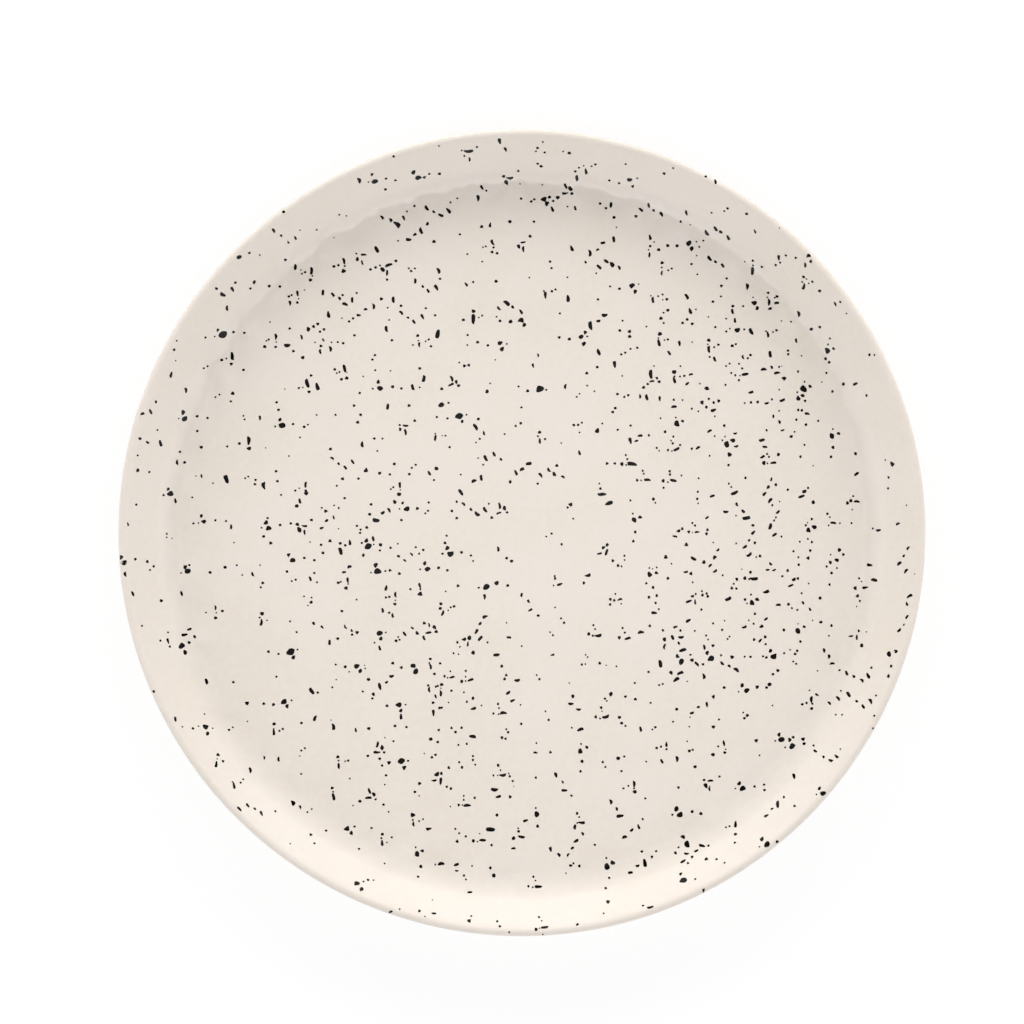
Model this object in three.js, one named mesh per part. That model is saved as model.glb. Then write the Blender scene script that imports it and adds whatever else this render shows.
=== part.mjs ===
// A flat, round cake plate of speckle-glazed ceramic, in millimetres, +Z up, standing on Z = 0.
//
// The plate is one pressed clay body with two fired coats of glaze on it. The first coat runs from the middle
// of the food face over the wall and the lip and down the outside to the foot ring. The second fills the recess
// inside the foot ring. Between them the foot ring is bare clay, which is what stands on the table.
//
// All three are turned from one section. A point of the section is a Vector2 of its distance from the axis (x)
// and its height (y), and a surface's depth is how far it lies inside the finished, glazed surface.
import * as THREE from "three";

// The finished plate.
const RIM_DIAMETER = 320; // across the outside of the lip
const WALL_REACH = 24; // from the edge of the flat food face out to the rim
const WELL_DEPTH = 11.8; // from the top of the lip down to the food face
const FLOOR_THICKNESS = 5.2; // from the food face through to the underside
const LIP_THICKNESS = 4; // the lip is a full round of this thickness
const WALL_FILLET = 17; // radius in which the food face turns up into the wall

// The foot ring.
const FOOT_INSET = 28; // from the edge of the flat food face in to the middle of the ring
const FOOT_WIDTH = 5; // across the clay of the ring, where it meets the table
const FOOT_HEIGHT = 3; // from the table up to the underside
const FOOT_DRAFT = 30; // degrees that its sides lean from the vertical, wider at the top
const FOOT_EDGE = 0.6; // radius of the clay edges that touch the table
const FOOT_FILLET = 0.8; // radius where its sides meet the underside

// The glaze.
const GLAZE_THICKNESS = 0.5;
const BOND_LINE = 0.02; // clearance between the glaze and the clay that it is fired on
const BARE_RISE = 0.9; // from the table up each side of the foot ring to where the glaze stops

// How finely the round forms are divided.
const TURN_STEPS = 64; // round the axis
const WALL_FILLET_STEPS = 5;
const LIP_STEPS = 6;
const FOOT_FILLET_STEPS = 2;
const FOOT_EDGE_STEPS = 2;

// A fillet that fills its wall to the limit would leave no straight wall above it.
const FULLEST_FILLET = 0.95;

const QUARTER_TURN = Math.PI / 2;
const DOWN = -QUARTER_TURN;
const UP = QUARTER_TURN;

const clayDepth = GLAZE_THICKNESS + BOND_LINE;
const floorRadius = RIM_DIAMETER / 2 - WALL_REACH;
const floorHeight = FOOT_HEIGHT + FLOOR_THICKNESS;
const footRadius = floorRadius - FOOT_INSET;
const footDraft = THREE.MathUtils.degToRad(FOOT_DRAFT);

// The lip's round, and the fillet that the wall stands on. Both sides of the wall are straight lines that are
// tangent to the lip's round and to a circle about the fillet's centre.
const lipRadius = LIP_THICKNESS / 2;
const lipCentre = new THREE.Vector2(RIM_DIAMETER / 2 - lipRadius, floorHeight + WELL_DEPTH - lipRadius);
const wallFillet = Math.min(WALL_FILLET, FULLEST_FILLET * largestWallFillet());
const filletCentre = new THREE.Vector2(floorRadius, floorHeight + wallFillet);
const innerSlope = tangentSlope(wallFillet + lipRadius);
const outerSlope = tangentSlope(wallFillet + FLOOR_THICKNESS - lipRadius);

// The largest fillet that still lets both straight lines of the wall reach the lip.
function largestWallFillet() {
  const run = lipCentre.x - floorRadius;
  const rise = lipCentre.y - floorHeight;
  const offset = Math.max(lipRadius, FLOOR_THICKNESS - lipRadius);
  return (run ** 2 + rise ** 2 - offset ** 2) / (2 * (rise + offset));
}

// The slope of a line whose distances from the fillet's centre and from the lip's centre differ by this much.
function tangentSlope(difference) {
  const centres = lipCentre.clone().sub(filletCentre);
  return Math.atan2(centres.y, centres.x) + Math.asin(difference / centres.length());
}

// A round stretch of the section about a centre, between two bearings measured from the outward direction.
function arc(centre, radius, from, to, steps) {
  return Array.from({ length: steps + 1 }, (_, step) => {
    const bearing = THREE.MathUtils.lerp(from, to, step / steps);
    return new THREE.Vector2(radius * Math.cos(bearing), radius * Math.sin(bearing)).add(centre);
  });
}

// One side of the foot ring's clay: its corner at the table, the way up it, and the way out of it. The outer
// side is +1 and the inner side, towards the axis, is -1.
function footSide(side) {
  return {
    corner: new THREE.Vector2(footRadius + (side * FOOT_WIDTH) / 2, 0),
    upward: new THREE.Vector2(side * Math.sin(footDraft), Math.cos(footDraft)),
    outward: new THREE.Vector2(side * Math.cos(footDraft), -Math.sin(footDraft)),
  };
}

// Where the glaze stops on a side of the foot ring.
function glazeEnd(side, depth) {
  const { corner, upward, outward } = footSide(side);
  const climb = BARE_RISE / Math.cos(footDraft);
  return corner
    .clone()
    .addScaledVector(upward, climb)
    .addScaledVector(outward, clayDepth - depth);
}

// The hollow round where a side of the foot ring meets the underside, from the side to the underside.
function footFillet(side, depth) {
  const { corner, outward } = footSide(side);
  const height = FOOT_HEIGHT - FOOT_FILLET;
  const distance = (clayDepth + FOOT_FILLET - height * outward.y) / outward.x;
  const centre = new THREE.Vector2(corner.x + distance, height);
  const sideBearing = Math.atan2(-outward.y, -outward.x);
  return arc(centre, FOOT_FILLET + depth, sideBearing, UP, FOOT_FILLET_STEPS);
}

// The clay edge of the foot ring that touches the table, from the table to the side.
function footEdge(side) {
  const { corner, outward } = footSide(side);
  const inset = (-FOOT_EDGE - FOOT_EDGE * outward.y) / outward.x;
  const centre = new THREE.Vector2(corner.x + inset, FOOT_EDGE);
  const sideBearing = DOWN + side * (QUARTER_TURN - footDraft);
  return arc(centre, FOOT_EDGE, DOWN, sideBearing, FOOT_EDGE_STEPS);
}

// The first coat's line: from the foot ring under the plate, up the outer wall, over the lip and down the inner
// wall to the middle of the food face.
function faceLine(depth) {
  const lip = lipRadius - depth;
  const outerFillet = wallFillet + FLOOR_THICKNESS - depth;
  const innerFillet = wallFillet + depth;
  return [
    glazeEnd(1, depth),
    ...footFillet(1, depth),
    ...arc(filletCentre, outerFillet, DOWN, DOWN + outerSlope, WALL_FILLET_STEPS),
    ...arc(lipCentre, lip, DOWN + outerSlope, UP + innerSlope, LIP_STEPS),
    ...arc(filletCentre, innerFillet, DOWN + innerSlope, DOWN, WALL_FILLET_STEPS),
    new THREE.Vector2(0, floorHeight - depth),
  ];
}

// The second coat's line: from the middle of the underside out to the foot ring and down its inner side.
function recessLine(depth) {
  return [
    new THREE.Vector2(0, FOOT_HEIGHT + depth),
    ...footFillet(-1, depth).reverse(),
    glazeEnd(-1, depth),
  ];
}

// A solid turned about the axis. The outline runs anticlockwise, from the axis back to the axis.
function turned(name, outline, material) {
  const geometry = new THREE.LatheGeometry(outline, TURN_STEPS).rotateX(QUARTER_TURN);
  const mesh = new THREE.Mesh(geometry, material);
  mesh.name = name;
  return mesh;
}

// The pressed and fired clay, bare on the foot ring.
function ceramicBody() {
  const outline = [
    ...recessLine(clayDepth),
    ...footEdge(-1).reverse(),
    ...footEdge(1),
    ...faceLine(clayDepth),
  ];
  const clay = new THREE.MeshStandardMaterial({ color: 0xd8c9b4, roughness: 0.85, metalness: 0 });
  return turned("ceramic_body", outline, clay);
}

// The coat that shows from above: food face, wall, lip and outer wall.
function glazeCoat(glaze) {
  const outline = [...faceLine(GLAZE_THICKNESS).reverse(), ...faceLine(0)];
  return turned("glaze_coat", outline, glaze);
}

// The coat in the recess inside the foot ring.
function baseGlaze(glaze) {
  const outline = [...recessLine(0), ...recessLine(GLAZE_THICKNESS).reverse()];
  return turned("base_glaze", outline, glaze);
}

const creamGlaze = new THREE.MeshStandardMaterial({ color: 0xece3da, roughness: 0.12, metalness: 0 });
const cakePlate = new THREE.Group();
cakePlate.name = "cake_plate";
cakePlate.add(ceramicBody(), glazeCoat(creamGlaze), baseGlaze(creamGlaze));

export default cakePlate;
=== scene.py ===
"""The looks of a flat, round cake plate: pressed clay under two coats of cream glaze with black flecks.

Lengths are in metres, but the flecks are laid out in millimetres. The plate stands on Z = 0 with its axis
on Z, and its front is towards -Y. A section of the plate is a list of rows, each with a point's distance
from the axis, its height, and how far out and up the surface faces there.
"""

import math
import random
from collections import namedtuple

import bpy
import numpy as np
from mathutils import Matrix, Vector
from mathutils.bvhtree import BVHTree


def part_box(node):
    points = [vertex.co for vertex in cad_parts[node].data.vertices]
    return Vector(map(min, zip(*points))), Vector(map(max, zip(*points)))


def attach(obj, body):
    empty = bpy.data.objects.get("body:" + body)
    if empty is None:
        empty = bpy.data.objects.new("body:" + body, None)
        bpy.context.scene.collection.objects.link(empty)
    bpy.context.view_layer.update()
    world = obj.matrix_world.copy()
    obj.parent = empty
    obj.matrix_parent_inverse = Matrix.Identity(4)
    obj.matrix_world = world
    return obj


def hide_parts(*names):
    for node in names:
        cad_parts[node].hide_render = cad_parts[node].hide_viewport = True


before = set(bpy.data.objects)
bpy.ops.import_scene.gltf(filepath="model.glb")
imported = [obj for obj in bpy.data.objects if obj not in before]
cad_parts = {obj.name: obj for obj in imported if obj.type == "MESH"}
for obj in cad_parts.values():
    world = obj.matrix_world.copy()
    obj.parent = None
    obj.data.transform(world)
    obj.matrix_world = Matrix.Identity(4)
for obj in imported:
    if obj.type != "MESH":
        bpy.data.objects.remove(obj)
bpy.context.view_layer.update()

MM = 0.001
TURN = 2 * math.pi
QUARTER_TURN = math.pi / 2
DOWN = -QUARTER_TURN
UP = QUARTER_TURN

# The finished plate, as the solids have it.
WALL_REACH = 24 * MM  # from the edge of the flat food face out to the rim
WELL_DEPTH = 11.8 * MM  # from the top of the lip down to the food face
FLOOR_THICKNESS = 5.2 * MM
LIP_THICKNESS = 4 * MM
WALL_FILLET = 17 * MM  # radius in which the food face turns up into the wall
FOOT_INSET = 28 * MM  # from the edge of the flat food face in to the middle of the foot ring
FOOT_WIDTH = 5 * MM
FOOT_HEIGHT = 3 * MM
FOOT_DRAFT = math.radians(30)  # how far its sides lean from the vertical
FOOT_EDGE = 0.6 * MM  # radius of the edges that touch the table
FOOT_FILLET = 0.8 * MM  # radius where its sides meet the underside
GLAZE_THICKNESS = 0.5 * MM
BOND_LINE = 0.02 * MM  # between the glaze and the clay
BARE_RISE = 0.9 * MM  # from the table up the foot ring to where the glaze stops

# How finely the surfaces are divided.
MOST_SEGMENTS = 512  # round the axis, at the rim
FEWEST_SEGMENTS = 16
SHORTEST_SEGMENT = 0.9 * MM
FEWEST_ARC_STEPS = 2
FACE_STEP = 2.5 * MM
FACE_OVERLAP = 1 * MM  # how far past the edge of the flat face its step still holds
WALL_STEP = 0.7 * MM
LIP_STEP = 0.45 * MM
OUTSIDE_STEP = 1.8 * MM
FOOT_STEP = 0.3 * MM
FOOT_EDGE_STEP = FOOT_STEP / 2
BEAD_STEP = FOOT_STEP / 3
HIDDEN_STEP = 8.0 * MM
HIDDEN_COARSENESS = 4  # how much more coarsely the rounds between the glaze and the clay are divided

# The swell of the glaze, which ran a little down the wall and gathered in the fillet.
SWELL_SEED = 5
RUN_COUNT = 28  # waves in the fillet
RUN_CYCLES = (24, 180)  # how many times the longest and the shortest of them rise and fall in a turn
RUN_STRETCH = (0.7, 1.6)  # their length up the wall, against that round the plate
RUN_STEEPNESS = 0.0125  # of each wave
RUN_MIDDLE = 5 * MM  # from the edge of the flat face out to where the runs stand highest
RUN_REACH = 7 * MM  # how far from there they die out
RUN_BEARING = math.radians(125)  # the side of the plate where the glaze ran most
RUN_SPREAD = 0.45  # how much more it ran there than on the whole
FACE_WAVE_COUNT = 14
FACE_WAVE_LENGTH = (14 * MM, 60 * MM)
FACE_WAVE_HEIGHT = 0.006 * MM

rim_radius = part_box("glaze_coat")[1].x
clay_depth = GLAZE_THICKNESS + BOND_LINE
floor_radius = rim_radius - WALL_REACH
floor_height = FOOT_HEIGHT + FLOOR_THICKNESS
lip_top = floor_height + WELL_DEPTH
foot_radius = floor_radius - FOOT_INSET
lip_radius = LIP_THICKNESS / 2
lip_centre = np.array([rim_radius - lip_radius, lip_top - lip_radius])
fillet_centre = np.array([floor_radius, floor_height + WALL_FILLET])


def tangent_slope(difference):
    """The slope of a line whose distances from the fillet's and the lip's centre differ by this."""
    run, rise = lip_centre - fillet_centre
    return math.atan2(rise, run) + math.asin(difference / math.hypot(run, rise))


inner_slope = tangent_slope(WALL_FILLET + lip_radius)
outer_slope = tangent_slope(WALL_FILLET + FLOOR_THICKNESS - lip_radius)


# The section


def arc(centre, radius, start, end, step, facing):
    """A round stretch, whose surface faces away from the centre (facing 1) or towards it (facing -1)."""
    steps = max(FEWEST_ARC_STEPS, math.ceil(abs(end - start) * radius / step))
    bearings = np.linspace(start, end, steps + 1)
    ways = np.stack([np.cos(bearings), np.sin(bearings)], axis=1)
    return np.hstack([centre + radius * ways, facing * ways])


def divided(rows, step):
    """The rows, with more put in wherever two of them lie further apart than the step at that place."""
    made = [rows[0]]
    for before, after in zip(rows, rows[1:]):
        gap = math.dist(before[:2], after[:2])
        pieces = max(1, math.ceil(gap / step(before, after)))
        made += [before + (after - before) * piece / pieces for piece in range(1, pieces + 1)]
    return np.array(made)


def foot_side(side):
    """The outer (1) or inner (-1) side of the foot ring: its corner at the table and its way out."""
    corner = np.array([foot_radius + side * FOOT_WIDTH / 2, 0.0])
    outward = np.array([side * math.cos(FOOT_DRAFT), -math.sin(FOOT_DRAFT)])
    return corner, outward


def foot_fillet(side, depth):
    """The hollow round from a side of the foot ring to the underside."""
    corner, outward = foot_side(side)
    height = FOOT_HEIGHT - FOOT_FILLET
    distance = (clay_depth + FOOT_FILLET - height * outward[1]) / outward[0]
    centre = np.array([corner[0] + distance, height])
    start = math.atan2(-outward[1], -outward[0])
    return arc(centre, FOOT_FILLET + depth, start, UP, FOOT_STEP, -1)


def foot_edge(side):
    """The clay edge of the foot ring that touches the table, from the table to the side."""
    corner, outward = foot_side(side)
    inset = (-FOOT_EDGE - FOOT_EDGE * outward[1]) / outward[0]
    centre = np.array([corner[0] + inset, FOOT_EDGE])
    end = DOWN + side * (QUARTER_TURN - FOOT_DRAFT)
    return arc(centre, FOOT_EDGE, DOWN, end, FOOT_EDGE_STEP, 1)


def glaze_bead(side):
    """The rounded edge in which a coat ends on a side of the foot ring."""
    corner, outward = foot_side(side)
    upward = np.array([-outward[1] * side, outward[0] * side])
    climb = BARE_RISE / math.cos(FOOT_DRAFT)
    centre = corner + climb * upward + (clay_depth - GLAZE_THICKNESS / 2) * outward
    start = math.pi - side * FOOT_DRAFT
    return arc(centre, GLAZE_THICKNESS / 2, start, start + math.pi, BEAD_STEP, 1)


def face_line(depth, coarseness=1):
    """From the foot ring up the outer wall, over the lip and down to the middle of the food face."""
    outer = WALL_FILLET + FLOOR_THICKNESS - depth
    inner = WALL_FILLET + depth
    lip = lip_radius - depth
    return np.vstack([
        foot_fillet(1, depth),
        arc(fillet_centre, outer, DOWN, DOWN + outer_slope, coarseness * OUTSIDE_STEP, 1),
        arc(lip_centre, lip, DOWN + outer_slope, UP + inner_slope, coarseness * LIP_STEP, 1),
        arc(fillet_centre, inner, DOWN + inner_slope, DOWN, coarseness * WALL_STEP, -1),
        [[0, floor_height - depth, 0, 1]],
    ])


def recess_line(depth):
    """From the middle of the underside out to the foot ring and down its inner side."""
    return np.vstack([[[0, FOOT_HEIGHT + depth, 0, -1]], foot_fillet(-1, depth)[::-1]])


def shown_step(before, after):
    """How finely a stretch that can be seen is divided."""
    on_face = max(before[0], after[0]) <= floor_radius + FACE_OVERLAP
    return FACE_STEP if on_face else OUTSIDE_STEP


def hidden_step(before, after):
    """How finely a stretch between the glaze and the clay is divided."""
    return HIDDEN_STEP


def in_fillet(row):
    """Whether a row of the section lies in the fillet between the food face and the wall."""
    radius, _, _, up = row
    fillet_end = floor_radius + WALL_FILLET * math.sin(inner_slope)
    return up > 0 and floor_radius <= radius <= fillet_end


# Solids turned about the axis


def segment_count(row, finer):
    """How many segments a ring has, halved towards the axis and doubled where the surface is finer."""
    radius = row[0]
    if radius == 0:
        return 1
    count = MOST_SEGMENTS
    while count > FEWEST_SEGMENTS and TURN * radius / count < SHORTEST_SEGMENT:
        count //= 2
    return 2 * count if tuple(row) in finer else count


def stitched(first, second):
    """The faces between two rings of vertex numbers, of which one may be a point or twice as fine."""
    few = min(len(first), len(second))
    if few == 1:
        many = max(first, second, key=len)
        pairs = zip(many, np.roll(many, -1))
        if len(first) == 1:
            return [(first[0], after, before) for before, after in pairs]
        return [(before, after, second[0]) for before, after in pairs]
    faces = []
    for step in range(few):
        after = (step + 1) % few
        if len(first) == len(second):
            faces.append((first[step], first[after], second[after]))
            faces.append((first[step], second[after], second[step]))
        elif len(first) < len(second):
            near, middle, far = second[2 * step], second[2 * step + 1], second[2 * after]
            faces += [(first[step], middle, near), (first[step], first[after], middle)]
            faces.append((first[after], far, middle))
        else:
            near, middle, far = first[2 * step], first[2 * step + 1], first[2 * after]
            faces += [(near, middle, second[step]), (middle, second[after], second[step])]
            faces.append((middle, far, second[after]))
    return faces


def turned(name, outline, swell, finer=()):
    """A closed solid turned from an outline that runs anticlockwise from the axis to the axis."""
    points = []
    faces = []
    before = None
    for row in outline:
        radius, height, out, up = row
        count = segment_count(row, finer)
        bearings = np.arange(count) * TURN / count
        lift = swell(row, bearings)
        reach = radius + out * lift
        ring = np.arange(count) + len(points)
        points += list(zip(reach * np.cos(bearings), reach * np.sin(bearings), height + up * lift))
        if before is not None:
            faces += stitched(before, ring)
        before = ring
    return new_object(name, points, faces)


def new_object(name, points, faces):
    """A smooth-shaded mesh object."""
    corners = [tuple(map(float, point)) for point in points]
    sides = [tuple(map(int, face)) for face in faces]
    mesh = bpy.data.meshes.new(name)
    mesh.from_pydata(corners, [], sides)
    mesh.shade_smooth()
    made = bpy.data.objects.new(name, mesh)
    bpy.context.scene.collection.objects.link(made)
    return made


# The swell of the glaze


def runs(generator):
    """Waves in the fillet, each with its cycles in a turn, its run up the wall, phase and height."""
    made = []
    fewest, most = RUN_CYCLES
    for _ in range(RUN_COUNT):
        cycles = round(fewest * (most / fewest) ** generator.random())
        around = cycles / (floor_radius + RUN_MIDDLE)
        lean = generator.choice((-1, 1)) * around / generator.uniform(*RUN_STRETCH)
        height = RUN_STEEPNESS / math.hypot(around, lean)
        made.append((cycles, lean, generator.uniform(0, TURN), height))
    return made


def face_waves(generator):
    """Plane waves over the plate, each with its run in X and Y and its phase."""
    made = []
    for _ in range(FACE_WAVE_COUNT):
        heading = generator.uniform(0, TURN)
        pitch = TURN / generator.uniform(*FACE_WAVE_LENGTH)
        phase = generator.uniform(0, TURN)
        made.append((pitch * math.cos(heading), pitch * math.sin(heading), phase))
    return made


swell_source = random.Random(SWELL_SEED)
RUNS = runs(swell_source)
FACE_WAVES = face_waves(swell_source)


def glaze_swell(row, bearings):
    """How far the glaze stands out from its even thickness on a ring of a coat."""
    radius, _, _, up = row
    x, y = radius * np.cos(bearings), radius * np.sin(bearings)
    waves = FACE_WAVE_HEIGHT * sum(np.sin(a * x + b * y + phase) for a, b, phase in FACE_WAVES)
    from_middle = (radius - floor_radius - RUN_MIDDLE) / RUN_REACH
    share = math.exp(-from_middle**2) if up > 0 else 0.0
    share = share * (1 + RUN_SPREAD * np.cos(bearings - RUN_BEARING))
    run = sum(high * np.sin(n * bearings + lean * radius + phase) for n, lean, phase, high in RUNS)
    return waves + share * run


def inside_swell(row, bearings):
    """The clay, and the side of a coat that lies on it, are even."""
    return np.zeros_like(bearings)


def coat_swell(shown_rows):
    """The swell of a coat of which these rows of the outline can be seen."""
    shown = {tuple(row) for row in shown_rows}

    def swell(row, bearings):
        if tuple(row) in shown:
            return glaze_swell(row, bearings)
        return inside_swell(row, bearings)

    return swell


# The pieces


def make_glaze_coat():
    """The coat that shows from above: food face, wall, lip and outer wall."""
    inner = divided(face_line(GLAZE_THICKNESS, HIDDEN_COARSENESS)[::-1], hidden_step)
    outer = divided(face_line(0), shown_step)
    outline = np.vstack([inner, glaze_bead(1), outer])
    fillet = {tuple(row) for row in outer if in_fillet(row)}
    piece = turned("speckled_glaze_coat", outline, coat_swell(outer), fillet)
    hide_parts("glaze_coat")
    return piece


def make_base_glaze():
    """The coat in the recess inside the foot ring."""
    outer = divided(recess_line(0), shown_step)
    inner = divided(recess_line(GLAZE_THICKNESS)[::-1], hidden_step)
    outline = np.vstack([outer, glaze_bead(-1), inner])
    piece = turned("recess_glaze_coat", outline, coat_swell(outer))
    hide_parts("base_glaze")
    return piece


def make_clay_body():
    """The pressed and fired clay, bare on the foot ring."""
    outline = np.vstack([
        divided(recess_line(clay_depth), hidden_step),
        foot_edge(-1)[::-1],
        foot_edge(1),
        divided(face_line(clay_depth, HIDDEN_COARSENESS), hidden_step),
    ])
    piece = turned("fired_clay_body", outline, inside_swell)
    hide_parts("ceramic_body")
    return piece


# The flecks

# How many there are, and where they stop. The margins are in millimetres.
FLECK_SEED = 11
TOP_FLECK_COUNT = 1990
OUTSIDE_FLECK_COUNT = 300
RECESS_FLECK_COUNT = 160
TOP_RIM_MARGIN = 0.6
OUTSIDE_RIM_MARGIN = 1.5
FOOT_MARGIN = 8  # from the middle of the foot ring

# How they fell.
GROUPED_SHARE = 0.28  # of the falls, the share that are groups
FLECK_LEFT_OUT = 0.12  # share of a group's flecks that didn't fall
PLACES_TRIED = 4
FLECK_SHIFT = 0.35  # millimetres by which a fleck may miss its place in its group
FLECK_GAP = 0.2  # millimetres between flecks of different groups
TURN_SPREAD = 7  # degrees by which a group's turn may vary
TILT_SPREAD = 12  # degrees by which a fleck's tilt usually varies
SIZE_MIDDLE = 0.05  # of the natural logarithm of a fleck's growth
SIZE_SPREAD = 0.16
WALL_SHARE = 0.7  # of the flecks stayed on the wall
LIP_SHARE = 0.45  # of the flecks stayed on the lip
LIP_BARED = 0.75  # of the lip's thickness, from the rim inwards
LIP_SEED = 3

# The shape of one fleck.
FLECK_POINTS = 12  # round its outline
FLECK_PROUD = 0.035 * MM
FLECK_EDGE_PROUD = 0.022 * MM
FLECK_SUNK = 0.1 * MM
FLECK_CROWN = 0.55  # width of its flat crown, against its own
BLUNT_FROM = 1.5  # times longer than wide, from where its ends are blunt
BLUNTNESS = 0.8  # power that fills the ends out
FLECK_TAPER = 0.25
FLECK_BEND = 0.12  # of its length
THREE_LOBES = (0.03, 0.15)  # how far they stand out, against the fleck's size
FOUR_LOBES = (0.0, 0.09)
FALL_HEIGHT = 0.1  # from which it comes, over the table or, for the lower side, under it

# Groups in which the flecks fell together. A row gives a fleck's place in its group and its length and
# width, all in millimetres, and its tilt in degrees.
DROP_FAMILY = (
    (0.0, 0.0, 2.4, 1.85, 20),
    (-1.2, 2.2, 1.7, 1.3, 65),
    (-2.8, -0.3, 0.8, 0.7, 0),
    (4.5, 0.9, 1.2, 1.05, 20),
    (8.5, 0.1, 1.1, 0.95, -10),
)
UPRIGHT_DASH = (
    (0.0, 0.0, 2.6, 1.05, 95),
    (0.4, -1.9, 0.8, 0.7, 0),
    (0.1, -3.6, 1.35, 1.15, 0),
    (-2.3, -1.2, 0.85, 0.8, 0),
    (-3.7, -1.8, 1.0, 0.85, 0),
)
FALLING_CHAIN = (
    (0.0, 0.0, 2.0, 1.0, -55),
    (2.9, -1.7, 1.5, 1.05, -45),
    (5.5, -3.4, 2.1, 1.05, -45),
    (8.4, -1.5, 2.2, 1.0, -50),
    (9.8, 1.4, 0.9, 0.8, 0),
)
RISING_CHAIN = (
    (0.0, 0.0, 1.9, 1.05, 10),
    (2.5, 2.7, 1.6, 1.0, 25),
    (5.3, 4.0, 2.3, 1.0, 110),
    (7.5, 7.3, 1.3, 1.0, 100),
)
CROSSED_DASHES = (
    (0.0, 0.0, 1.8, 1.25, -65),
    (2.1, 1.5, 2.4, 0.9, 5),
    (2.0, -1.3, 2.3, 0.9, -75),
    (-0.8, 1.8, 1.2, 1.0, 0),
    (5.2, 3.5, 1.25, 1.1, 0),
)
BROKEN_DROP = (
    (0.0, 0.0, 2.6, 1.9, 70),
    (-1.6, 2.4, 1.8, 1.3, -50),
    (-3.1, -1.2, 1.05, 0.95, 0),
    (-0.6, -4.1, 2.4, 1.05, 15),
    (-4.7, -3.8, 1.6, 1.2, -60),
    (-2.3, -6.9, 2.2, 1.05, 15),
    (3.4, -3.1, 1.8, 0.9, 25),
    (5.7, -1.1, 2.3, 1.0, -55),
    (4.2, 0.9, 1.15, 1.0, 0),
    (8.5, -0.8, 1.15, 1.0, 0),
    (6.2, -4.6, 1.0, 0.8, 0),
)
PAIR_OF_DOTS = (
    (0.0, 0.0, 1.05, 0.95, 0),
    (1.6, 1.0, 0.95, 0.85, 0),
)
LONE_DASH = ((0.0, 0.0, 2.2, 1.05, 102),)
LONE_DOT = ((0.0, 0.0, 1.15, 1.0, 0),)
DUST = ((0.0, 0.0, 0.76, 0.68, 0),)
GROUPS = (DROP_FAMILY, UPRIGHT_DASH, FALLING_CHAIN, RISING_CHAIN, CROSSED_DASHES, BROKEN_DROP)
GROUP_SHARES = (15, 16, 10, 8, 7, 3)
STRAYS = (PAIR_OF_DOTS, LONE_DASH, LONE_DOT, DUST)
STRAY_SHARES = (14, 28, 48, 42)

# Where the flecks fell thicker or thinner: the middle of the drift and its reach, in millimetres, and how
# much it adds or takes away, in flecks per square centimetre.
EVEN_DENSITY = 1.75
THINNEST_DENSITY = 0.15
DRIFTS = (
    (82, -24, 32, 5.4),
    (108, -5, 22, 1.8),
    (85, 82, 30, 4.2),
    (62, 48, 24, 2.4),
    (108, 62, 22, 1.6),
    (-76, 82, 26, 4.0),
    (-66, -4, 30, 3.6),
    (-36, -74, 32, 3.0),
    (14, 146, 18, 2.6),
    (0, 0, 18, -1.6),
    (8, -46, 22, -1.2),
    (-95, -48, 28, -1.5),
    (-140, -50, 30, -1.4),
    (150, 40, 30, -1.6),
    (30, 14, 18, -0.7),
    (-80, 34, 14, -1.4),
)
# The way that the groups are turned, in degrees, about each of these places.
PATCHES = (
    (-75, 20, 0),
    (80, 0, -90),
    (-70, -85, 180),
    (75, -90, 0),
    (0, -100, -90),
    (0, 60, 180),
    (-45, 125, 0),
    (50, 125, 180),
)

# A fleck's place in the plan of the plate, its length and width in millimetres, and its slant.
Fleck = namedtuple("Fleck", "x y length width slant")


def drifted(x, y):
    """How thickly the flecks fell at a place of the upper side."""
    drifts = sum(
        more * math.exp(-((x - middle_x) ** 2 + (y - middle_y) ** 2) / reach**2)
        for middle_x, middle_y, reach, more in DRIFTS
    )
    on_wall = math.hypot(x, y) * MM > floor_radius + RUN_MIDDLE
    return max(THINNEST_DENSITY, EVEN_DENSITY + drifts) * (WALL_SHARE if on_wall else 1)


def evenly(x, y):
    """On the outside and in the recess the flecks fell as thickly everywhere."""
    return 1.0


def group_turn(generator, x, y):
    """The turn of a group at a place: that of the nearest patch, with a little spread."""
    nearest = min(PATCHES, key=lambda patch: math.hypot(x - patch[0], y - patch[1]))
    return math.radians(nearest[2] + generator.uniform(-TURN_SPREAD, TURN_SPREAD))


def varied_fleck(generator, row, x, y, turn):
    """A fleck of a group that fell at a place, a little off its row in place, size and tilt."""
    across, along, length, width, tilt = row
    across += generator.uniform(-FLECK_SHIFT, FLECK_SHIFT)
    along += generator.uniform(-FLECK_SHIFT, FLECK_SHIFT)
    size = math.exp(generator.gauss(SIZE_MIDDLE, SIZE_SPREAD))
    slant = turn + math.radians(tilt + generator.gauss(0, TILT_SPREAD))
    own_x = x + across * math.cos(turn) - along * math.sin(turn)
    own_y = y + across * math.sin(turn) + along * math.cos(turn)
    return Fleck(own_x, own_y, length * size, width * size, slant)


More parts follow.
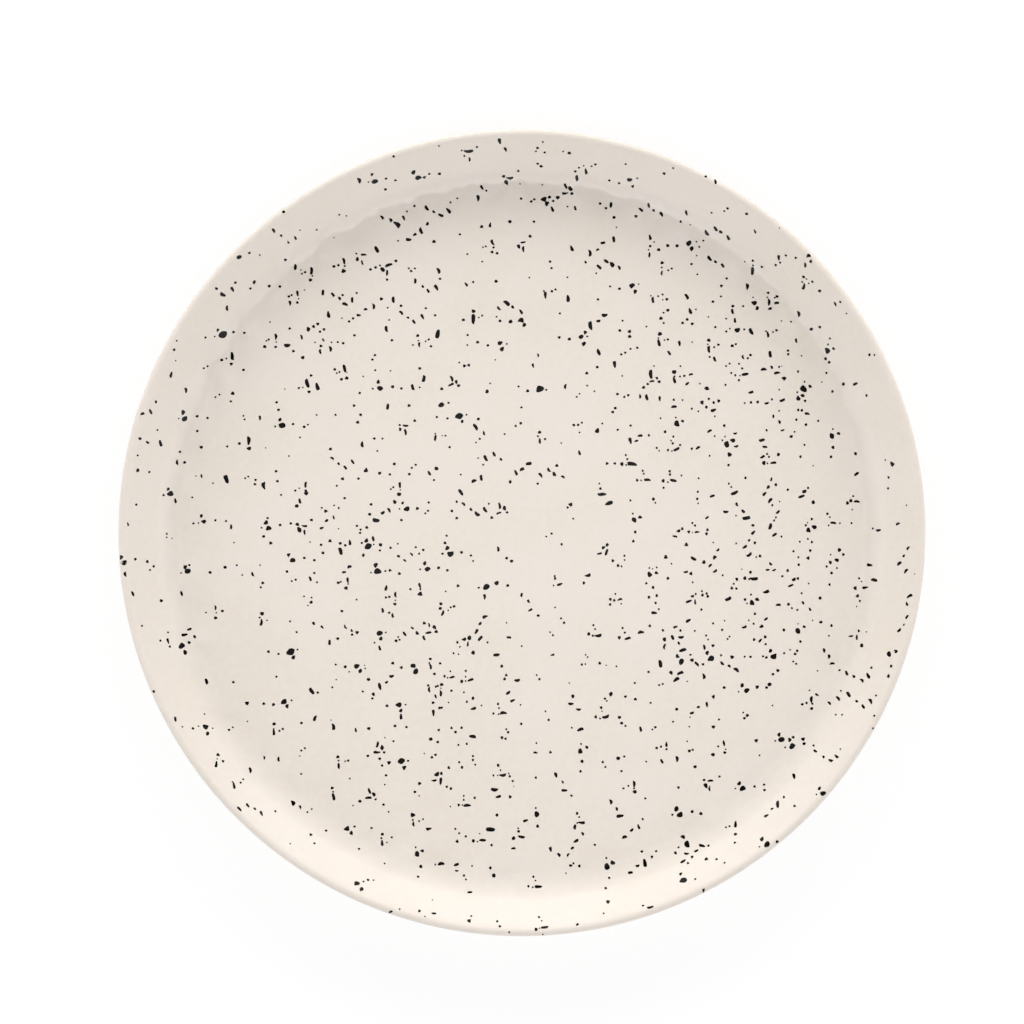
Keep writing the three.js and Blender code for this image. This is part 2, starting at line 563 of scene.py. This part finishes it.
class Scatter:
    """Flecks that keep clear of each other, found by the square of the plan that they lie in."""

    SQUARE = 4.0  # millimetres, wider than any fleck
    TOUCHING = 1  # squares away in which a fleck may touch another
    CROWDING = 2  # squares away in which flecks crowd a place

    def __init__(self):
        self.flecks = []
        self.squares = {}

    def square(self, x, y):
        """The square that a place lies in."""
        return math.floor(x / self.SQUARE), math.floor(y / self.SQUARE)

    def near(self, x, y, reach):
        """The flecks that lie up to this many squares away from a place."""
        column, row = self.square(x, y)
        steps = range(-reach, reach + 1)
        for across in steps:
            for along in steps:
                yield from self.squares.get((column + across, row + along), ())

    def clear(self, fleck):
        """Whether a fleck lies clear of those that are already there."""
        for other in self.near(fleck.x, fleck.y, self.TOUCHING):
            room = (fleck.length + other.length) / 2 + FLECK_GAP
            if math.dist(fleck[:2], other[:2]) < room:
                return False
        return True

    def crowd(self, x, y):
        """How many flecks lie about a place."""
        return sum(1 for _ in self.near(x, y, self.CROWDING))

    def add(self, fleck):
        """Keeps a fleck."""
        self.flecks.append(fleck)
        self.squares.setdefault(self.square(fleck.x, fleck.y), []).append(fleck)


def roomiest(generator, scatter, outer, thickness):
    """Of a few places in the plan, the one with the most room left for flecks."""
    places = []
    while len(places) < PLACES_TRIED:
        x, y = generator.uniform(-outer, outer), generator.uniform(-outer, outer)
        if math.hypot(x, y) < outer:
            places.append((x, y))

    def fullness(place):
        return (scatter.crowd(*place) + generator.random()) / thickness(*place)

    return min(places, key=fullness)


def scattered(generator, count, inner, outer, thickness):
    """This many flecks between two radii, in groups and alone, as thick as a function of place says."""
    scatter = Scatter()
    while len(scatter.flecks) < count:
        x, y = roomiest(generator, scatter, outer, thickness)
        grouped = generator.random() < GROUPED_SHARE
        kinds, shares = (GROUPS, GROUP_SHARES) if grouped else (STRAYS, STRAY_SHARES)
        group = generator.choices(kinds, shares)[0]
        turn = group_turn(generator, x, y)
        fallen = [varied_fleck(generator, row, x, y, turn) for row in group]
        fallen = [fleck for fleck in fallen if generator.random() > FLECK_LEFT_OUT]
        if all(scatter.clear(fleck) for fleck in fallen):
            for fleck in fallen:
                if inner < math.hypot(fleck.x, fleck.y) < outer:
                    scatter.add(fleck)
    return scatter.flecks


def thinned_on_lip(flecks):
    """The flecks, without most of those on the lip, where the glaze is thin and lets few of them stay."""
    generator = random.Random(LIP_SEED)
    lip_start = (rim_radius - LIP_THICKNESS * LIP_BARED) / MM
    kept = []
    for fleck in flecks:
        on_lip = math.hypot(fleck.x, fleck.y) >= lip_start
        if not on_lip or generator.random() < LIP_SHARE:
            kept.append(fleck)
    return kept


def filled_out(wave, power):
    """A wave between -1 and 1, made fuller by a power below 1."""
    return np.sign(wave) * np.abs(wave) ** power


def fleck_outline(generator, length, width):
    """The outline of a fleck about its middle: blunt, a little tapered, bent and uneven."""
    bearings = np.arange(FLECK_POINTS) * TURN / FLECK_POINTS
    power = BLUNTNESS if length > BLUNT_FROM * width else 1.0
    along = filled_out(np.cos(bearings), power)
    across = filled_out(np.sin(bearings), power)
    taper = generator.uniform(-FLECK_TAPER, FLECK_TAPER)
    bend = generator.uniform(-FLECK_BEND, FLECK_BEND) * length
    swing = generator.uniform(0, TURN)
    uneven = 1 + generator.uniform(*THREE_LOBES) * np.sin(3 * bearings + swing)
    uneven += generator.uniform(*FOUR_LOBES) * np.sin(4 * bearings - 2 * swing)
    u = length / 2 * along * uneven
    v = width / 2 * across * (1 + taper * along) * uneven + bend * (along**2 - 1 / 2)
    return np.stack([u, v], axis=1)


def fleck_axes(normal, slant):
    """The long and the short way of a fleck with this slant, on a surface that faces this way."""
    first = Vector((1, 0, 0)) - normal * normal.x
    first.normalize()
    second = normal.cross(first)
    long_way = first * math.cos(slant) + second * math.sin(slant)
    short_way = second * math.cos(slant) - first * math.sin(slant)
    return long_way, short_way


class FleckMesh:
    """The points, faces and normals of many flecks that lie on one coat of glaze."""

    def __init__(self, coat):
        mesh = coat.data
        corners = [vertex.co for vertex in mesh.vertices]
        self.tree = BVHTree.FromPolygons(corners, [tuple(face.vertices) for face in mesh.polygons])
        self.points = []
        self.normals = []
        self.faces = []

    def landed(self, origin, way):
        """Where a line from a point meets the coat, and the way that the coat faces there."""
        place, normal, _, _ = self.tree.ray_cast(origin, way)
        if place is None:
            place, normal, _, _ = self.tree.find_nearest(origin)
        return place, normal

    def ring(self, shape, middle, normal, axes, rise):
        """A ring of points on the coat, a fleck's outline raised or sunk by this much."""
        first = len(self.points)
        for u, v in shape:
            above = middle + axes[0] * u + axes[1] * v + normal * MM
            place, facing = self.landed(above, -normal)
            self.points.append(place + facing * rise)
            self.normals.append(facing)
        return list(range(first, len(self.points)))

    def close(self, top, crown, edge, foot):
        """The faces of one fleck, from its top point over its rings down to its foot."""
        self.faces += [(top, crown[i], crown[(i + 1) % FLECK_POINTS]) for i in range(FLECK_POINTS)]
        for upper, lower in ((crown, edge), (edge, foot)):
            for i in range(FLECK_POINTS):
                after = (i + 1) % FLECK_POINTS
                self.faces.append((upper[i], lower[i], lower[after], upper[after]))
        self.faces.append(tuple(reversed(foot)))

    def add(self, generator, fleck, side):
        """A fleck on the upper (1) or lower (-1) side: a thin, crowned flake with a sunk edge."""
        start = Vector((fleck.x * MM, fleck.y * MM, side * FALL_HEIGHT))
        middle, normal = self.landed(start, Vector((0, 0, -side)))
        axes = fleck_axes(normal, fleck.slant)
        shape = fleck_outline(generator, fleck.length * MM, fleck.width * MM)
        top = len(self.points)
        self.points.append(middle + normal * FLECK_PROUD)
        self.normals.append(normal)
        crown = self.ring(shape * FLECK_CROWN, middle, normal, axes, FLECK_PROUD)
        edge = self.ring(shape, middle, normal, axes, FLECK_EDGE_PROUD)
        foot = self.ring(shape, middle, normal, axes, -FLECK_SUNK)
        self.close(top, crown, edge, foot)

    def finished(self, name):
        """The flecks as one object, shaded like the glaze that they lie in."""
        piece = new_object(name, self.points, self.faces)
        piece.data.normals_split_custom_set_from_vertices([tuple(normal) for normal in self.normals])
        return piece


def make_flecks(coat, recess):
    """The black flecks in both coats of glaze."""
    generator = random.Random(FLECK_SEED)
    rim = rim_radius / MM
    foot = foot_radius / MM
    upper = FleckMesh(coat)
    fallen = scattered(generator, TOP_FLECK_COUNT, 0, rim - TOP_RIM_MARGIN, drifted)
    for fleck in thinned_on_lip(fallen):
        upper.add(generator, fleck, 1)
    inner, outer = foot + FOOT_MARGIN, rim - OUTSIDE_RIM_MARGIN
    for fleck in scattered(generator, OUTSIDE_FLECK_COUNT, inner, outer, evenly):
        upper.add(generator, fleck, -1)
    lower = FleckMesh(recess)
    for fleck in scattered(generator, RECESS_FLECK_COUNT, 0, foot - FOOT_MARGIN, evenly):
        lower.add(generator, fleck, -1)
    return upper.finished("glaze_flecks"), lower.finished("recess_flecks")


# Materials

# Cloudy variation: the size of its features, how many finer layers it has, and how strong they are.
CLOUDS = (40 * MM, 2, 0.5)
MOTTLE = (2.5 * MM, 3, 0.6)
PEEL = (6 * MM, 2, 0.4)  # the dimples of the glaze's skin
BURNS = (1.5 * MM, 2, 0.5)
CLAY_CLOUDS = (40 * MM, 3, 0.6)
GRAIN = (0.5 * MM, 4, 0.7)
SPECKS = (0.8 * MM, 0, 0.5)

# The stretch of a variation, from 0 to 1, over which a change takes place.
MIDDLE_STRETCH = (0.3, 0.7)
BURN_STRETCH = (0.5, 0.75)
GRAIN_STRETCH = (0.35, 0.6)
SPECK_STRETCH = (0.72, 0.76)

PEEL_DEPTH = 0.02 * MM
GRAIN_DEPTH = 0.06 * MM
GLAZE_ROUGHNESS = (0.07, 0.12)
GLAZE_IOR = 1.5
FLECK_ROUGHNESS = (0.12, 0.25)
FLECK_IOR = 1.36
CLAY_ROUGHNESS = (0.95, 0.8)

# The curve by which a screen shows light.
FULL_TONE = 255
TOE_END = 0.04045
TOE_SLOPE = 12.92
CURVE_OFFSET = 0.055
CURVE_POWER = 2.4

# Places of the sockets of a node that mixes colours.
MIX_SHARE = 0
MIX_FIRST = 6
MIX_SECOND = 7
MIX_RESULT = 2


def linear(red, green, blue):
    """A colour given in 0 to 255 as a screen shows it, as the shaders take it."""
    shown = np.array([red, green, blue]) / FULL_TONE
    curve = ((shown + CURVE_OFFSET) / (1 + CURVE_OFFSET)) ** CURVE_POWER
    light = np.where(shown <= TOE_END, shown / TOE_SLOPE, curve)
    return (*map(float, light), 1.0)


def grey(tone):
    """A grey of this tone, as the shaders take it."""
    return (tone, tone, tone, 1.0)


CREAM = linear(244, 234, 224)
CREAM_PALE = linear(246, 237, 228)
CREAM_WARM = linear(241, 231, 218)
FLECK_BLACK = grey(0.003)
FLECK_BROWN = (0.014, 0.009, 0.006, 1.0)
CLAY_DARK = linear(206, 188, 163)
CLAY_PALE = linear(222, 207, 186)
CLAY_GRAIN = linear(188, 168, 140)
CLAY_SPECK = linear(92, 74, 60)


def new_material(name):
    """A node material, its nodes and its main shader."""
    made = bpy.data.materials.new(name)
    made.use_nodes = True
    return made, made.node_tree, made.node_tree.nodes["Principled BSDF"]


def feed(tree, value, socket):
    """Gives a socket its value, which comes from another socket or is a constant."""
    if isinstance(value, bpy.types.NodeSocket):
        tree.links.new(value, socket)
    else:
        socket.default_value = value


def calculated(tree, operation, *values):
    """The result of a calculation on sockets and numbers."""
    node = tree.nodes.new("ShaderNodeMath")
    node.operation = operation
    for value, socket in zip(values, node.inputs):
        feed(tree, value, socket)
    return node.outputs["Value"]


def noise(tree, size, detail, roughness):
    """Cloudy variation from 0 to 1 over the object, with features of about this size."""
    node = tree.nodes.new("ShaderNodeTexNoise")
    node.inputs["Scale"].default_value = 1 / size
    node.inputs["Detail"].default_value = detail
    node.inputs["Roughness"].default_value = roughness
    tree.links.new(tree.nodes.new("ShaderNodeTexCoord").outputs["Object"], node.inputs["Vector"])
    return node.outputs["Fac"]


def stretched(tree, value, start, end, low, high):
    """A value spread from the range start to end onto the range low to high."""
    node = tree.nodes.new("ShaderNodeMapRange")
    tree.links.new(value, node.inputs["Value"])
    limits = (("From Min", start), ("From Max", end), ("To Min", low), ("To Max", high))
    for name, limit in limits:
        node.inputs[name].default_value = limit
    return node.outputs["Result"]


def mixed(tree, share, first, second):
    """A colour between two colours, each given or from a socket."""
    node = tree.nodes.new("ShaderNodeMix")
    node.data_type = "RGBA"
    for value, place in ((share, MIX_SHARE), (first, MIX_FIRST), (second, MIX_SECOND)):
        feed(tree, value, node.inputs[place])
    return node.outputs[MIX_RESULT]


def bumped(tree, shader, height):
    """Relief of this height, in metres, on the shader."""
    node = tree.nodes.new("ShaderNodeBump")
    node.inputs["Distance"].default_value = 1.0
    tree.links.new(height, node.inputs["Height"])
    tree.links.new(node.outputs["Normal"], shader.inputs["Normal"])


def glaze_skin(tree):
    """The height of the glaze's uneven, dimpled skin."""
    return calculated(tree, "MULTIPLY", noise(tree, *PEEL), PEEL_DEPTH)


def glaze_material():
    """A glossy cream glaze, a little cloudy, with a fine mottle and an uneven skin."""
    made, tree, shader = new_material("cream_glaze")
    clouds = stretched(tree, noise(tree, *CLOUDS), *MIDDLE_STRETCH, 0, 1)
    mottle = stretched(tree, noise(tree, *MOTTLE), *MIDDLE_STRETCH, 0, 1)
    cream = mixed(tree, clouds, CREAM, CREAM_PALE)
    thin = mixed(tree, clouds, CREAM_WARM, CREAM)
    tree.links.new(mixed(tree, mottle, thin, cream), shader.inputs["Base Color"])
    tree.links.new(stretched(tree, mottle, 0, 1, *GLAZE_ROUGHNESS), shader.inputs["Roughness"])
    shader.inputs["IOR"].default_value = GLAZE_IOR
    bumped(tree, shader, glaze_skin(tree))
    return made


def fleck_material():
    """Black iron pigment under the gloss of the glaze, burnt to a dark brown in places."""
    made, tree, shader = new_material("black_fleck")
    burnt = stretched(tree, noise(tree, *BURNS), *BURN_STRETCH, 0, 1)
    tree.links.new(mixed(tree, burnt, FLECK_BLACK, FLECK_BROWN), shader.inputs["Base Color"])
    tree.links.new(stretched(tree, burnt, 0, 1, *FLECK_ROUGHNESS), shader.inputs["Roughness"])
    shader.inputs["IOR"].default_value = FLECK_IOR
    bumped(tree, shader, glaze_skin(tree))
    return made


def clay_material():
    """Bare fired clay: matt, with sandy grain and dark specks."""
    made, tree, shader = new_material("bare_clay")
    grain = noise(tree, *GRAIN)
    clouds = stretched(tree, noise(tree, *CLAY_CLOUDS), *MIDDLE_STRETCH, 0, 1)
    clay = mixed(tree, clouds, CLAY_DARK, CLAY_PALE)
    sandy = mixed(tree, stretched(tree, grain, *GRAIN_STRETCH, 1, 0), clay, CLAY_GRAIN)
    specks = stretched(tree, noise(tree, *SPECKS), *SPECK_STRETCH, 0, 1)
    tree.links.new(mixed(tree, specks, sandy, CLAY_SPECK), shader.inputs["Base Color"])
    roughness = stretched(tree, grain, *MIDDLE_STRETCH, *CLAY_ROUGHNESS)
    tree.links.new(roughness, shader.inputs["Roughness"])
    bumped(tree, shader, calculated(tree, "MULTIPLY", grain, GRAIN_DEPTH))
    return made


# The studio

CAMERA_HEIGHT = 1.5  # above the lip
SENSOR_WIDTH = 36.0  # millimetres, as lenses are given
IMAGE_WIDTH = 1024  # pixels
RIM_WIDTH = 808.3  # pixels across the rim in the image
RIM_MIDDLE = (521.9, 532.7)  # pixels from the image's left and top edges

TABLE_WIDTH = 4.0
TABLE_TONE = 0.8
TABLE_ROUGHNESS = 0.9
TABLE_GLOSS = 0.1
TABLE_GLOW = 0.8
SHADOW_SHARE = 0.25  # how much of the table's own light and shade shows in the white

WHITE = grey(1.0)
WHITE_STRENGTH = 1.0  # of the background, where the camera sees it
EVEN_LIGHT = 0.02  # from everywhere

# Panels of the tent: bearing from the back towards the right, half width and softness of the sides, lowest
# elevation and its softness, highest elevation and its softness, all in degrees, then how bright the light
# of the panel is, and how bright the panel looks in the gloss. The strong ones look dimmer there, so that
# the glaze doesn't burn out.
PANELS = (
    (0, 46, 30, 12, 9, 25.5, 9, 5.5, 1.5),  # the back
    (0, 86, 30, 10, 7, 17, 7, 5.1, 1.2),  # a wider strip below it
    (-90, 28, 25, 26, 9, 54, 9, 0.69, 0.69),  # the left
    (90, 28, 25, 26, 9, 54, 9, 0.69, 0.69),  # the right
    (180, 90, 14, 10, 6, 68.5, 1.5, 0.79, 0.79),  # the whole front
    (180, 50, 30, 14, 6, 40, 10, 0.35, 0.35),  # more of the front, low down
    (180, 45, 25, 54, 11, 68.5, 1.5, 1.95, 1.45),  # and along its upper edge
    (0, 200, 10, 86.5, 2.5, 100, 5, 1.15, 1.15),  # a small one overhead
)


def make_camera():
    """The camera, straight overhead, with the back of the plate at the top of the image."""
    pixel = 2 * rim_radius / RIM_WIDTH
    data = bpy.data.cameras.new("camera")
    data.sensor_width = SENSOR_WIDTH
    data.lens = SENSOR_WIDTH * CAMERA_HEIGHT / (IMAGE_WIDTH * pixel)
    camera = bpy.data.objects.new("camera", data)
    bpy.context.scene.collection.objects.link(camera)
    aside = pixel * (IMAGE_WIDTH / 2 - RIM_MIDDLE[0])
    along = pixel * (RIM_MIDDLE[1] - IMAGE_WIDTH / 2)
    camera.location = (aside, along, lip_top + CAMERA_HEIGHT)
    bpy.context.scene.camera = camera


def seen_directly(tree):
    """1 for what the camera sees, straight, in a mirror or through glass, and 0 for other light."""
    path = tree.nodes.new("ShaderNodeLightPath").outputs
    mirrored = calculated(tree, "MAXIMUM", path["Is Glossy Ray"], path["Is Transmission Ray"])
    return calculated(tree, "MAXIMUM", path["Is Camera Ray"], mirrored)


def table_material():
    """Matt white, which shows little of its own light and shade where it is seen directly."""
    made, tree, shader = new_material("white_table")
    shader.inputs["Base Color"].default_value = grey(TABLE_TONE)
    shader.inputs["Roughness"].default_value = TABLE_ROUGHNESS
    shader.inputs["Specular IOR Level"].default_value = TABLE_GLOSS
    faint = tree.nodes.new("ShaderNodeBsdfDiffuse")
    faint.inputs["Color"].default_value = grey(SHADOW_SHARE)
    glow = tree.nodes.new("ShaderNodeEmission")
    glow.inputs["Strength"].default_value = TABLE_GLOW
    white = tree.nodes.new("ShaderNodeAddShader")
    tree.links.new(faint.outputs["BSDF"], white.inputs[0])
    tree.links.new(glow.outputs["Emission"], white.inputs[1])
    mix = tree.nodes.new("ShaderNodeMixShader")
    tree.links.new(seen_directly(tree), mix.inputs["Fac"])
    tree.links.new(shader.outputs["BSDF"], mix.inputs[1])
    tree.links.new(white.outputs["Shader"], mix.inputs[2])
    tree.links.new(mix.outputs["Shader"], tree.nodes["Material Output"].inputs["Surface"])
    return made


def make_floor():
    """A table top that the camera and the gloss see as white, apart from the plate's shadow."""
    half = TABLE_WIDTH / 2
    corners = [(-half, -half, 0), (half, -half, 0), (half, half, 0), (-half, half, 0)]
    floor = new_object("table_top", corners, [(0, 1, 2, 3)])
    floor.data.materials.append(table_material())


def chosen(tree, share, first, second):
    """The first value where the share is 0 and the second where it is 1."""
    node = tree.nodes.new("ShaderNodeMix")
    for value, name in ((share, "Factor"), (first, "A"), (second, "B")):
        feed(tree, value, node.inputs[name])
    return node.outputs["Result"]


def ramped(tree, value, start, end):
    """A smooth rise from 0 at the start to 1 at the end."""
    node = tree.nodes.new("ShaderNodeMapRange")
    node.interpolation_type = "SMOOTHSTEP"
    tree.links.new(value, node.inputs["Value"])
    node.inputs["From Min"].default_value = start
    node.inputs["From Max"].default_value = end
    return node.outputs["Result"]


def panel_share(tree, angles, x, y, elevation):
    """1 in the directions of one soft panel of the tent and 0 elsewhere."""
    bearing, half_width, side_softness = map(math.radians, angles[:3])
    bottom, bottom_softness, top, top_softness = map(math.radians, angles[3:])
    along = calculated(tree, "MULTIPLY", x, math.sin(bearing))
    along = calculated(tree, "MULTIPLY_ADD", y, math.cos(bearing), along)
    level = calculated(tree, "COSINE", elevation)
    aside = calculated(tree, "ARCCOSINE", calculated(tree, "DIVIDE", along, level))
    inside = ramped(tree, aside, half_width + side_softness, half_width - side_softness)
    above = ramped(tree, elevation, bottom - bottom_softness, bottom + bottom_softness)
    below = ramped(tree, elevation, top + top_softness, top - top_softness)
    return calculated(tree, "MULTIPLY", inside, calculated(tree, "MULTIPLY", above, below))


def make_world():
    """A tent of soft white panels, dark about the small one overhead."""
    world = bpy.data.worlds.new("studio")
    world.use_nodes = True
    tree = world.node_tree
    way = tree.nodes.new("ShaderNodeSeparateXYZ")
    tree.links.new(tree.nodes.new("ShaderNodeTexCoord").outputs["Generated"], way.inputs["Vector"])
    x, y, z = way.outputs
    elevation = calculated(tree, "ARCSINE", z)
    shed = EVEN_LIGHT
    mirrored = EVEN_LIGHT
    for *angles, brightness, brightness_in_gloss in PANELS:
        share = panel_share(tree, angles, x, y, elevation)
        shed = calculated(tree, "MULTIPLY_ADD", share, brightness, shed)
        mirrored = calculated(tree, "MULTIPLY_ADD", share, brightness_in_gloss, mirrored)
    path = tree.nodes.new("ShaderNodeLightPath").outputs
    light = chosen(tree, path["Is Glossy Ray"], shed, mirrored)
    light = chosen(tree, path["Is Camera Ray"], light, WHITE_STRENGTH)
    background = tree.nodes["Background"]
    background.inputs["Color"].default_value = WHITE
    tree.links.new(light, background.inputs["Strength"])
    bpy.context.scene.world = world


make_camera()
make_floor()
make_world()
glaze = glaze_material()
clay = clay_material()
fleck = fleck_material()
coat = make_glaze_coat()
recess = make_base_glaze()
body = make_clay_body()
coat_flecks, recess_flecks = make_flecks(coat, recess)
finishes = ((coat, glaze), (recess, glaze), (body, clay), (coat_flecks, fleck), (recess_flecks, fleck))
for piece, material in finishes:
    piece.data.materials.append(material)
    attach(piece, "root")
bpy.context.scene.view_settings.view_transform = "Standard"
